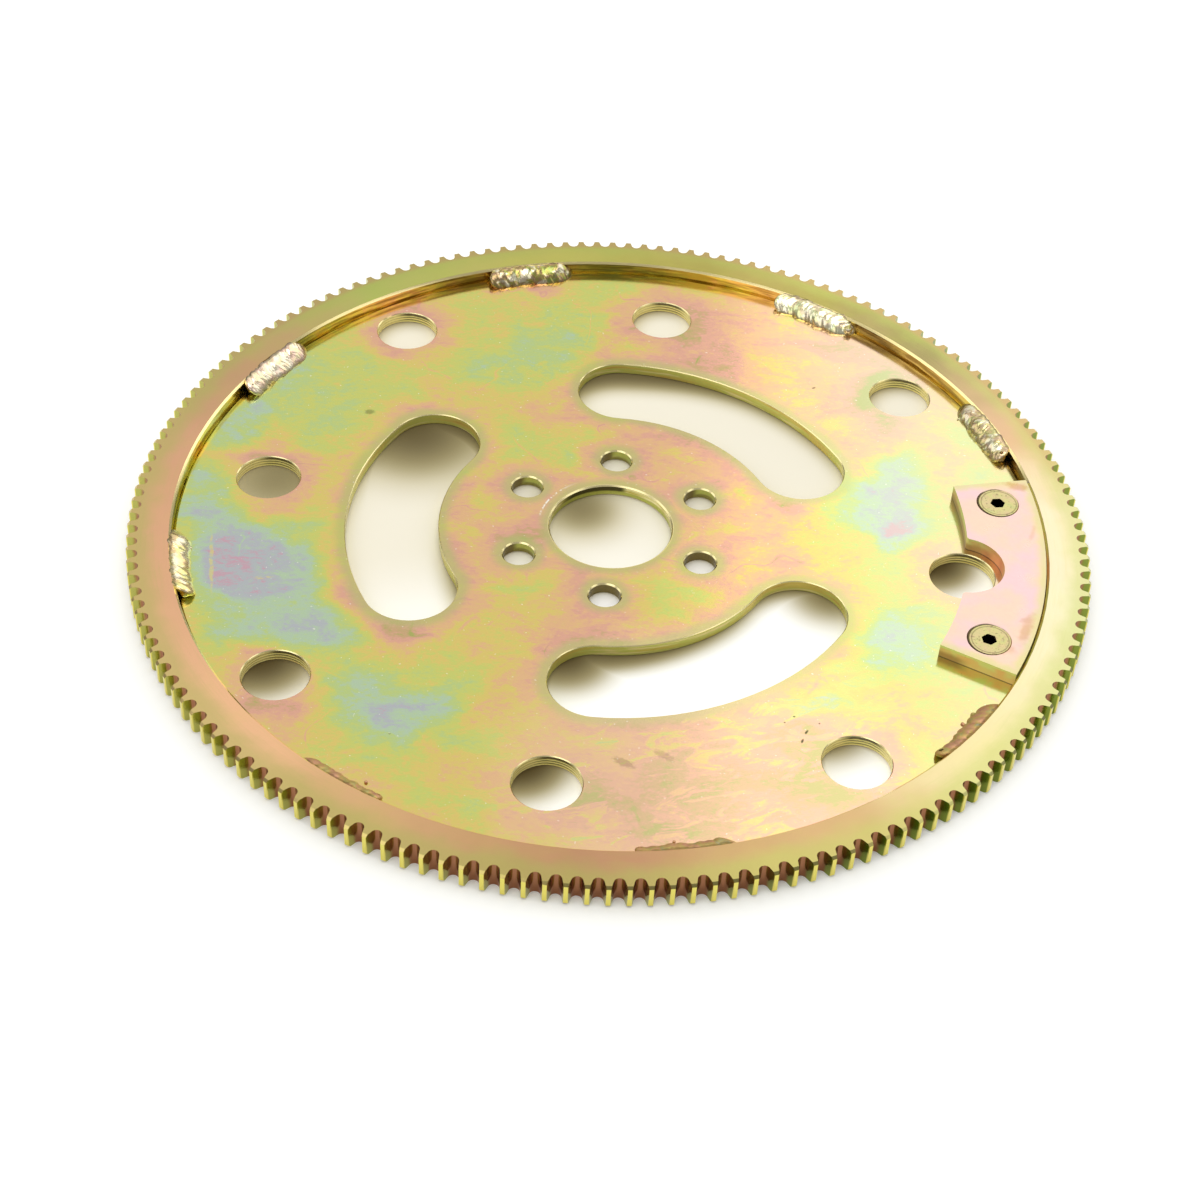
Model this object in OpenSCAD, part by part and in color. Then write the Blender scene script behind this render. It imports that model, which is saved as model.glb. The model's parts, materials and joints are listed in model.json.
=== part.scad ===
// Flexplate: a flat steel disc with a starter ring gear welded round it and a balance weight screwed to it.
// Millimetres, +Z up along the crankshaft axis. The origin is the centre of the bore on the underside,
// and +X points to the converter hole that the balance weight is notched round.

/* [Ring gear] */
// Diameter over the tooth tips
gear_tip_d = 361; // [352:0.5:372]
// Number of teeth
gear_teeth = 164; // [140:4:172]
// Depth of a tooth gap, from tip to root
tooth_depth = 4.2; // [3.6:0.1:4.8]
// Radius of the rounded root of a tooth gap
root_r = 2; // [1.6:0.1:2.1]
// Slope of a tooth flank against the radial direction, in degrees
flank_angle = 16; // [12:0.5:18]
// Angle by which the teeth are turned against the first converter hole
gear_turn = 0.3; // [0:0.05:1]
// Width of the ring along its axis
gear_h = 9.75; // [8:0.25:14]
// Radial width of the ring, from its bore to the tooth tips
gear_w = 16.3; // [14:0.1:20]
// Chamfer turned on both edges of the tooth tips
tip_chamfer = 0.9; // [0.3:0.1:1.5]
// Chamfer turned on the upper edge of the ring's bore
gear_bore_chamfer = 0.8; // [0.2:0.1:1.2]

/* [Disc] */
// Thickness of the disc
disc_t = 4.75; // [3:0.25:6]
// Gap between the disc's edge and the ring's bore, on the radius
ring_fit = 0.1; // [0.05:0.05:0.3]
// Chamfer on the upper edge of the disc's rim
rim_chamfer = 1; // [0.4:0.1:1.5]
// Diameter of the centre bore
bore_d = 46.5; // [40:0.5:52]
// Chamfer on both edges of the centre bore
bore_chamfer = 0.5; // [0.2:0.1:1]

/* [Crankshaft bolt holes] */
// Diameter of the crankshaft bolt circle
crank_pcd = 76.9; // [72:0.1:84]
// Number of crankshaft bolt holes
crank_count = 6; // [4:1:8]
// Diameter of a crankshaft bolt hole
crank_hole_d = 11.9; // [10:0.1:13]
// Chamfer on both edges of a crankshaft bolt hole
crank_chamfer = 0.5; // [0.2:0.1:0.8]
// Angle of the first crankshaft bolt hole
crank_start = 36; // [30:0.5:42]
// Angle by which the last hole is set off from the even spacing, so that the plate fits one way only
crank_odd_shift = 4; // [2:0.5:8]

/* [Converter bolt holes] */
// Distance of the inner converter holes' centres from the disc's edge
converter_edge_in = 30.75; // [28:0.05:34]
// Distance of the outer converter holes' centres from the disc's edge
converter_edge_out = 19.07; // [17:0.01:24]
// Number of holes on each converter bolt circle
converter_count = 4; // [3:1:6]
// Diameter of a converter bolt hole
converter_hole_d = 24.4; // [20:0.2:25]
// Chamfer on both edges of a converter bolt hole
converter_chamfer = 0.3; // [0.2:0.1:0.6]

/* [Windows] */
// Number of kidney-shaped windows
window_count = 3; // [2:1:4]
// Inner radius of a window
window_r_in = 65.2; // [58:0.2:70]
// Outer radius of a window
window_r_out = 100.2; // [92:0.2:106]
// Angle between the centres of a window's two round ends
window_span = 60.4; // [40:0.2:70]
// Edge break on both edges of a window
window_break = 0.3; // [0.1:0.1:0.6]

/* [Balance weight] */
// Thickness of the balance weight
weight_t = 5.5; // [5:0.25:8]
// Radial width of the balance weight
weight_w = 29.2; // [26:0.2:34]
// Angle that the balance weight spans
weight_span = 38.7; // [36:0.1:44]
// Gap between the balance weight and the ring's bore
weight_gap = 0.5; // [0.3:0.1:1]
// Gap between the notch and the converter hole that it clears, on the radius
notch_gap = 2.5; // [1:0.1:4]
// Rounding of the notch's two mouth corners
notch_corner_r = 2; // [1:0.1:3]

/* [Weight screws] */
// Thread diameter of a weight screw
screw_d = 8; // [5:0.5:8]
// Diameter of a weight screw's flat head
screw_head_d = 15.5; // [12:0.5:16.5]
// Height of the straight rim of the head
screw_head_rim = 0.4; // [0.2:0.1:0.6]
// Size of the hexagon socket across its flats
screw_hex = 5; // [3:0.5:5]
// Depth of the hexagon socket
screw_hex_depth = 2.8; // [1.5:0.1:3.2]
// Angle of each screw from the middle of the balance weight
screw_angle = 14.8; // [13:0.2:15]
// Clearance of the screw in the balance weight, on the radius
screw_clearance = 0.3; // [0.1:0.1:0.5]
// Play of the plain screw shank in its tapped hole in the disc, on the radius
thread_play = 0.1; // [0.05:0.05:0.2]
// Distance that the screw's tip stays above the underside of the disc
screw_setback = 0.3; // [0.2:0.1:1]

/* [Welds] */
// Length of a weld bead
weld_len = 36; // [26:1:40]
// Reach of a weld bead over the disc, from the ring's bore
weld_leg = 6.2; // [4.5:0.1:6.4]
// Height of a weld bead's crown over the straight line between its two toes
weld_crown = 2.2; // [1.8:0.1:2.6]

/* [Hidden] */
$fn = 96;
// Overlap of a cutting tool past the faces that it cuts
eps = 1;
// Angles of the weld beads round the corner between disc and ring, clear of the balance weight
weld_angles = [32, 67, 111.5, 156.5, 200, 245, 288.5, 330];
screw_sides = [-1, 1];

gear_tip_r = gear_tip_d / 2;
gear_bore_r = gear_tip_r - gear_w;
gear_pitch_angle = 360 / gear_teeth;
disc_r = gear_bore_r - ring_fit;
window_mid_r = (window_r_in + window_r_out) / 2;
window_half_w = (window_r_out - window_r_in) / 2;
crank_step = 360 / crank_count;
// The windows lie midway between crankshaft bolt holes
window_start = crank_start + crank_step / 2;
converter_step = 360 / converter_count;
converter_r_in = disc_r - converter_edge_in;
converter_r_out = disc_r - converter_edge_out;

weight_r_out = gear_bore_r - weight_gap;
weight_r_in = weight_r_out - weight_w;
weight_mid_r = (weight_r_in + weight_r_out) / 2;
weight_top = disc_t + weight_t;
notch_pos = converter_r_in;
notch_r = converter_hole_d / 2 + converter_chamfer + notch_gap;
// The rounding circle crosses the two edges instead of touching them
notch_round_inset = 0.95 * notch_corner_r;
head_cone_h = (screw_head_d - screw_d) / 2;

// A weld bead's round section passes through its toe on the disc and its toe halfway up the ring's chamfer
toe_disc = [gear_bore_r - weld_leg, disc_t];
toe_ring = [gear_bore_r + gear_bore_chamfer / 2, gear_h - gear_bore_chamfer / 2];
weld_chord = norm(toe_ring - toe_disc);
weld_r = (weld_chord * weld_chord / 4 + weld_crown * weld_crown) / (2 * weld_crown);
weld_normal = [toe_ring[1] - toe_disc[1], toe_disc[0] - toe_ring[0]] / weld_chord;
weld_centre = (toe_disc + toe_ring) / 2 + (weld_r - weld_crown) * weld_normal;
// The dome at a bead's end is a little wider than the crown, so that it cuts the crown cleanly
weld_end_r = 1.05 * weld_r;
weld_body_angle = (weld_len - 2 * weld_end_r) / gear_bore_r * 180 / PI;
weld_blank_angle = (weld_len + weld_r) / gear_bore_r * 180 / PI;

plate_gold = [0.80, 0.72, 0.38];
gear_olive = [0.72, 0.65, 0.42];
weight_pink = [0.88, 0.76, 0.66];
screw_gold = [0.82, 0.75, 0.42];
weld_bright = [0.86, 0.82, 0.68];

function weld_name(i) = str("weld_bead_", i + 1);
function screw_name(i) = str("counterweight_screw_", i + 1);

// A round hole through the disc with a chamfer on both edges
module disc_hole(r, chamfer) {
    rotate_extrude()
        polygon([
            [0, -eps],
            [r + chamfer + eps, -eps],
            [r, chamfer],
            [r, disc_t - chamfer],
            [r + chamfer + eps, disc_t + eps],
            [0, disc_t + eps]
        ]);
}

// One kidney-shaped window: a curved slot with full round ends and broken edges
module window_cut() {
    rotate([0, 0, -window_span / 2])
        rotate_extrude(angle = window_span)
            polygon([
                [window_r_in - window_break - eps, -eps],
                [window_r_in, window_break],
                [window_r_in, disc_t - window_break],
                [window_r_in - window_break - eps, disc_t + eps],
                [window_r_out + window_break + eps, disc_t + eps],
                [window_r_out, disc_t - window_break],
                [window_r_out, window_break],
                [window_r_out + window_break + eps, -eps]
            ]);
    for (side = [-1, 1])
        rotate([0, 0, side * window_span / 2])
            translate([window_mid_r, 0, 0])
                disc_hole(window_half_w, window_break);
}

module flex_disc() {
    color(plate_gold)
    difference() {
        rotate_extrude()
            polygon([
                [0, 0],
                [disc_r, 0],
                [disc_r, disc_t - rim_chamfer],
                [disc_r - rim_chamfer, disc_t],
                [0, disc_t]
            ]);
        disc_hole(bore_d / 2, bore_chamfer);
        for (i = [0 : crank_count - 1])
            rotate([0, 0, crank_start + i * crank_step + (i == crank_count - 1 ? crank_odd_shift : 0)])
                translate([crank_pcd / 2, 0, 0])
                    disc_hole(crank_hole_d / 2, crank_chamfer);
        for (i = [0 : converter_count - 1]) {
            rotate([0, 0, i * converter_step])
                translate([converter_r_in, 0, 0])
                    disc_hole(converter_hole_d / 2, converter_chamfer);
            rotate([0, 0, (i + 0.5) * converter_step])
                translate([converter_r_out, 0, 0])
                    disc_hole(converter_hole_d / 2, converter_chamfer);
        }
        for (i = [0 : window_count - 1])
            rotate([0, 0, window_start + i * 360 / window_count])
                window_cut();
        for (side = screw_sides)
            at_screw(side)
                translate([0, 0, -eps])
                    cylinder(r = screw_d / 2 + thread_play, h = disc_t + 2 * eps);
    }
}

// One tooth gap: straight flanks that run tangent into a round root
module tooth_gap() {
    root_x = gear_tip_r - tooth_depth + root_r;
    flank_x = root_x - root_r * sin(flank_angle);
    flank_y = root_r * cos(flank_angle);
    reach = tooth_depth + eps;
    flank_end_y = flank_y + reach * tan(flank_angle);
    translate([0, 0, -eps])
        linear_extrude(height = gear_h + 2 * eps) {
            translate([root_x, 0])
                circle(r = root_r);
            polygon([
                [flank_x, -flank_y],
                [flank_x + reach, -flank_end_y],
                [flank_x + reach, flank_end_y],
                [flank_x, flank_y]
            ]);
        }
}

module ring_gear() {
    color(gear_olive)
    difference() {
        rotate_extrude()
            polygon([
                [gear_bore_r, 0],
                [gear_tip_r - tip_chamfer, 0],
                [gear_tip_r, tip_chamfer],
                [gear_tip_r, gear_h - tip_chamfer],
                [gear_tip_r - tip_chamfer, gear_h],
                [gear_bore_r + gear_bore_chamfer, gear_h],
                [gear_bore_r, gear_h - gear_bore_chamfer]
            ]);
        for (i = [0 : gear_teeth - 1])
            rotate([0, 0, (i + 0.5) * gear_pitch_angle + gear_turn])
                tooth_gap();
    }
}

module at_screw(side) {
    rotate([0, 0, side * screw_angle])
        translate([weight_mid_r, 0, 0])
            children();
}

// What comes off one mouth corner of the notch: the corner's wedge less a circle that just crosses
// the inner edge and the notch
module notch_corner() {
    to_axis = weight_r_in + notch_round_inset;
    to_notch = notch_r + notch_round_inset;
    x = (to_axis * to_axis - to_notch * to_notch + notch_pos * notch_pos) / (2 * notch_pos);
    centre = [x, sqrt(to_axis * to_axis - x * x)];
    difference() {
        polygon([[notch_pos, 0], centre * weight_r_in / to_axis, centre]);
        translate(centre)
            circle(r = notch_corner_r);
    }
}

// The balance weight seen from above: a ring sector with a round notch that has rounded mouth corners
module weight_outline() {
    half = weight_span / 2;
    reach = weight_r_out + eps;
    difference() {
        intersection() {
            circle(r = weight_r_out);
            polygon([[0, 0], [reach, -reach * tan(half)], [reach, reach * tan(half)]]);
        }
        circle(r = weight_r_in);
        translate([notch_pos, 0])
            circle(r = notch_r);
        notch_corner();
        mirror([0, 1])
            notch_corner();
    }
}

module counterweight() {
    color(weight_pink)
    difference() {
        translate([0, 0, disc_t])
            linear_extrude(height = weight_t)
                weight_outline();
        for (side = screw_sides)
            at_screw(side) {
                translate([0, 0, disc_t - eps])
                    cylinder(r = screw_d / 2 + screw_clearance, h = weight_t + 2 * eps);
                translate([0, 0, weight_top - screw_head_rim - head_cone_h])
                    cylinder(
                        r1 = screw_d / 2,
                        r2 = screw_head_d / 2 + screw_head_rim + eps,
                        h = head_cone_h + screw_head_rim + eps
                    );
            }
    }
}

// A flat-head screw with a hexagon socket, its head level with the top of the balance weight
module counterweight_screw(side) {
    cone_top = weight_top - screw_head_rim;
    socket_floor = weight_top - screw_hex_depth;
    socket_r = screw_hex / sqrt(3);
    color(screw_gold)
    at_screw(side)
        difference() {
            rotate_extrude()
                polygon([
                    [0, screw_setback],
                    [screw_d / 2 - screw_setback, screw_setback],
                    [screw_d / 2, 2 * screw_setback],
                    [screw_d / 2, cone_top - head_cone_h],
                    [screw_head_d / 2, cone_top],
                    [screw_head_d / 2, weight_top],
                    [0, weight_top]
                ]);
            translate([0, 0, socket_floor])
                cylinder(r = socket_r, h = screw_hex_depth + eps, $fn = 6);
        }
}

// Section of a weld bead: a round crown over the corner between the disc's rim chamfer and the ring's bore
module weld_section() {
    corner_in = toe_disc[0] - eps;
    corner_out = gear_bore_r + gear_bore_chamfer + eps;
    corner_top = gear_h + weld_r;
    intersection() {
        translate(weld_centre)
            circle(r = weld_r);
        polygon([
            [corner_in, disc_t],
            [disc_r - rim_chamfer, disc_t],
            [disc_r, disc_t - rim_chamfer],
            [gear_bore_r, disc_t - rim_chamfer],
            [gear_bore_r, gear_h - gear_bore_chamfer],
            [corner_out, corner_out - gear_bore_r + gear_h - gear_bore_chamfer],
            [corner_out, corner_top],
            [corner_in, corner_top]
        ]);
    }
}

// What is taken off one end of a bead: all that lies past the end's round dome
module weld_end_cut(side) {
    block = 4 * weld_r;
    rotate([0, 0, side * weld_body_angle / 2])
        translate([weld_centre[0], 0, weld_centre[1]])
            difference() {
                translate([-block / 2, side > 0 ? 0 : -block, -block / 2])
                    cube(block);
                rotate([0, 0, 45])
                    sphere(r = weld_end_r);
            }
}

// A fillet weld with a round crown and domed ends
module weld_bead(angle) {
    color(weld_bright)
    rotate([0, 0, angle])
        difference() {
            rotate([0, 0, -weld_blank_angle / 2])
                rotate_extrude(angle = weld_blank_angle)
                    weld_section();
            for (side = [-1, 1])
                weld_end_cut(side);
        }
}

flex_disc();
ring_gear();
counterweight();
for (i = [0 : len(screw_sides) - 1])
    counterweight_screw(screw_sides[i]);
for (i = [0 : len(weld_angles) - 1])
    weld_bead(weld_angles[i]);
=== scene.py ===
import copy
import json
import math
import random
import bpy
from mathutils import Matrix, Vector


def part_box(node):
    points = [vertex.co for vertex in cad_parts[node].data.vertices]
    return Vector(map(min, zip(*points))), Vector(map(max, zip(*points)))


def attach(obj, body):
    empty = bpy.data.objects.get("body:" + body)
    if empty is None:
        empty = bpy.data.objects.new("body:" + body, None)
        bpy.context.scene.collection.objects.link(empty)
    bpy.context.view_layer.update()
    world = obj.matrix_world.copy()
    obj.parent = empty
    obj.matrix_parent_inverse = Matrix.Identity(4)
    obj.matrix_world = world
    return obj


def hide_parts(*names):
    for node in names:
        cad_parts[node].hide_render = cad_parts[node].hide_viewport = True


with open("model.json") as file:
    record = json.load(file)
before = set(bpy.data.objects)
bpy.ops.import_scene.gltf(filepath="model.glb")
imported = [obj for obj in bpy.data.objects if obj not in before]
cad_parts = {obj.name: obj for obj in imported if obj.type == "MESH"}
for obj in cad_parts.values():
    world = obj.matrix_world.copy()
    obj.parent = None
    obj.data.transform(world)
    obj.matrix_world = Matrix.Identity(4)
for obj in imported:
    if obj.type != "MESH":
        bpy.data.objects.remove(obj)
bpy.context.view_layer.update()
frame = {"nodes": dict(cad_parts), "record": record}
nodes = frame["nodes"]
mounts = {mount["name"]: mount for mount in frame["record"]["mounts"]}
mm = 0.001

# sizes of the plate in millimetres and degrees, read from the frame where it has them
plate = {
    "discTop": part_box("flex_disc")[1].z / mm,
    "ringTip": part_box("ring_gear")[1].x / mm,
    "weightTop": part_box("counterweight")[1].z / mm,
    "boreR": mounts["centre_bore"]["dims"]["r_mm"],
    "crankR": mounts["crank_bolts"]["dims"]["pcd_mm"] / 2,
    "crankHoleR": mounts["crank_bolts"]["dims"]["hole_r_mm"],
    "crankAngles": (36, 96, 156, 216, 276, 340),
    "converterInR": mounts["converter_bolts_inner"]["dims"]["pcd_mm"] / 2,
    "converterOutR": mounts["converter_bolts_outer"]["dims"]["pcd_mm"] / 2,
    "converterHoleR": mounts["converter_bolts_inner"]["dims"]["hole_r_mm"],
    "windowMidR": 82.7,
    "windowHalfWidth": 17.5,
    "windowHalfSpan": 30.2,
    "windowFirst": 66,
    "windowPitch": 120,
    "ringBoreR": 164.2,
    "toothDepth": 4.2,
}
print("plate read from the frame")


def tone(red, green, blue):  # a screen colour as the shader's own linear one
    def linear(value):
        value = value / 255
        return value / 12.92 if value <= 0.04045 else ((value + 0.055) / 1.055) ** 2.4
    return (linear(red), linear(green), linear(blue), 1)


class Wire:  # a socket that can stand in sums
    def __init__(self, tree, socket):
        self.tree = tree
        self.socket = socket

    def add(self, kind, settings=None, inputs=None, out=0):
        node = self.tree.nodes.new(kind)
        for key, value in (settings or {}).items():
            if key == "stops":
                ramp = node.color_ramp
                while len(ramp.elements) < len(value):
                    ramp.elements.new(0.5)
                for element, (place, colour) in zip(ramp.elements, value):
                    element.position = place
                    element.color = colour
            else:
                setattr(node, key, value)
        for key, value in (inputs or {}).items():
            if isinstance(value, Wire):
                self.tree.links.new(value.socket, node.inputs[key])
            else:
                node.inputs[key].default_value = value
        return Wire(self.tree, node.outputs[out])

    def math(self, operation, first, second=0.0, third=0.0):
        return self.add("ShaderNodeMath", {"operation": operation}, {0: first, 1: second, 2: third})

    def __add__(self, other):
        return self.math("ADD", self, other)

    def __radd__(self, other):
        return self.math("ADD", other, self)

    def __sub__(self, other):
        return self.math("SUBTRACT", self, other)

    def __rsub__(self, other):
        return self.math("SUBTRACT", other, self)

    def __mul__(self, other):
        return self.math("MULTIPLY", self, other)

    def __rmul__(self, other):
        return self.math("MULTIPLY", other, self)

    def __truediv__(self, other):
        return self.math("DIVIDE", self, other)

    def __rtruediv__(self, other):
        return self.math("DIVIDE", other, self)


def ease(value, low, high):  # 0 below low, 1 above high, smooth between
    smooth = {"interpolation_type": "SMOOTHSTEP", "clamp": True}
    return value.add("ShaderNodeMapRange", smooth, {0: value, 1: low, 2: high, 3: 0.0, 4: 1.0})


def absolute(value):
    return value.math("ABSOLUTE", value)


def bump(value, middle, half):  # 1 at the middle, 0 half away from it
    return 1 - ease(absolute(value - middle), 0.0, half)


def least(first, second):
    return first.math("MINIMUM", first, second)


def most(first, second):
    return first.math("MAXIMUM", first, second)


def blendColour(factor, under, over):
    return factor.add("ShaderNodeMix", {"data_type": "RGBA"}, {0: factor, 6: under, 7: over}, 2)


def ramp(value, stops, interpolation="EASE"):
    wire = value.add("ShaderNodeValToRGB", {"stops": stops}, {0: value})
    wire.socket.node.color_ramp.interpolation = interpolation
    return wire


class Surface:  # a finish with its places in millimetres
    def __init__(self, name):
        self.material = bpy.data.materials.new(name)
        self.material.use_nodes = True
        self.tree = self.material.node_tree
        self.shader = self.tree.nodes["Principled BSDF"]
        start = Wire(self.tree, None)
        place = start.add("ShaderNodeTexCoord", None, None, 3)
        self.point = place.add("ShaderNodeVectorMath", {"operation": "SCALE"}, {0: place, 3: 1 / mm})
        apart = place.add("ShaderNodeSeparateXYZ", None, {0: self.point})
        sockets = apart.socket.node.outputs
        self.x, self.y, self.z = (Wire(self.tree, socket) for socket in sockets)
        self.measure()
        normal = place.add("ShaderNodeNewGeometry", None, None, 1)
        apart = place.add("ShaderNodeSeparateXYZ", None, {0: normal})
        sockets = apart.socket.node.outputs
        self.facingX, self.facingY, self.facing = (Wire(self.tree, socket) for socket in sockets)

    def measure(self):
        self.flat = self.x.add("ShaderNodeCombineXYZ", None, {0: self.x, 1: self.y, 2: 0.0})
        self.radius = self.x.add("ShaderNodeVectorMath", {"operation": "LENGTH"}, {0: self.flat}, 1)
        self.angle = self.x.math("ARCTAN2", self.y, self.x) * math.degrees(1)
        self.around = (self.angle + 180) / 360  # 0 to 1 round the axis, from the left by the near side

    def moved(self, x, y):  # the same finish measured from places further along
        other = copy.copy(self)
        other.x = self.x + x
        other.y = self.y + y
        other.measure()
        return other

    def noise(self, size, detail=2.0, rough=0.5, twist=0.0, where=None, out=0):  # size of a cloud in mm
        inputs = {"Vector": where or self.point, "Scale": 1 / size, "Detail": detail, "Roughness": rough,
                  "Distortion": twist}
        return self.x.add("ShaderNodeTexNoise", None, inputs, out)

    def sway(self, reach, size, detail=2.0, rough=0.5, twist=0.0, where=None):  # clouds from -reach to reach
        return (self.noise(size, detail, rough, twist, where) - 0.5) * (2 * reach)

    def drawn(self, turn, stretch):  # the place drawn out along one way
        inputs = {0: self.point, 2: (0, 0, math.radians(turn)), 3: (stretch, 1, 1)}
        return self.x.add("ShaderNodeMapping", {"vector_type": "TEXTURE"}, inputs)

    def layered(self, stretch):  # the place drawn out level, for bands that lie round a wall
        inputs = {0: self.point, 3: (stretch, stretch, 1)}
        return self.x.add("ShaderNodeMapping", {"vector_type": "TEXTURE"}, inputs)

    def turned(self, along):  # the place unrolled into radius, way round and height
        return self.x.add("ShaderNodeCombineXYZ", None, {0: self.radius, 1: self.angle * along, 2: self.z})

    def spot(self, x, y, turn, length, width, where=None):  # 0 in the middle of a long mark, 1 at its edge
        size = (length / 2, width / 2, 1)
        inputs = {0: where or self.flat, 1: (x, y, 0), 2: (0, 0, math.radians(turn)), 3: size}
        along = self.x.add("ShaderNodeMapping", {"vector_type": "TEXTURE"}, inputs)
        return self.x.add("ShaderNodeVectorMath", {"operation": "LENGTH"}, {0: along}, 1)

    def drift(self, size, reach):  # the flat place pushed about by clouds
        push = self.noise(size, 5.0, 0.66, out=1)
        push = self.x.add("ShaderNodeVectorMath", {"operation": "SUBTRACT"}, {0: push, 1: (0.5, 0.5, 0.5)})
        push = self.x.add("ShaderNodeVectorMath", {"operation": "SCALE"}, {0: push, 3: reach})
        return self.x.add("ShaderNodeVectorMath", {"operation": "ADD"}, {0: self.flat, 1: push})

    def away(self, where, x, y, z=0):  # distance from a place
        return self.x.add("ShaderNodeVectorMath", {"operation": "DISTANCE"}, {0: where, 1: (x, y, z)}, 1)

    def upright(self, low, high):  # 1 on walls, 0 on level faces
        return 1 - ease(absolute(self.facing), low, high)

    def finish(self, colour, roughness, height=None, strength=0.2, depth=0.1, metallic=1.0):
        for name, value in (("Base Color", colour), ("Roughness", roughness), ("Metallic", metallic)):
            if isinstance(value, Wire):
                self.tree.links.new(value.socket, self.shader.inputs[name])
            else:
                self.shader.inputs[name].default_value = value
        if height:
            inputs = {"Strength": strength, "Distance": depth * mm, "Height": height}
            normal = height.add("ShaderNodeBump", None, inputs)
            self.tree.links.new(normal.socket, self.shader.inputs["Normal"])
        return self.material


# the chromate film's colours from the thinnest to the thickest
filmStops = [
    (0.00, tone(176, 178, 104)),
    (0.10, tone(206, 172, 128)),
    (0.20, tone(226, 172, 148)),
    (0.32, tone(230, 186, 138)),
    (0.44, tone(224, 202, 116)),
    (0.54, tone(206, 210, 116)),
    (0.65, tone(190, 208, 136)),
    (0.76, tone(184, 206, 172)),
    (0.90, tone(184, 188, 190)),
    (1.00, tone(204, 168, 178)),
]

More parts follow.
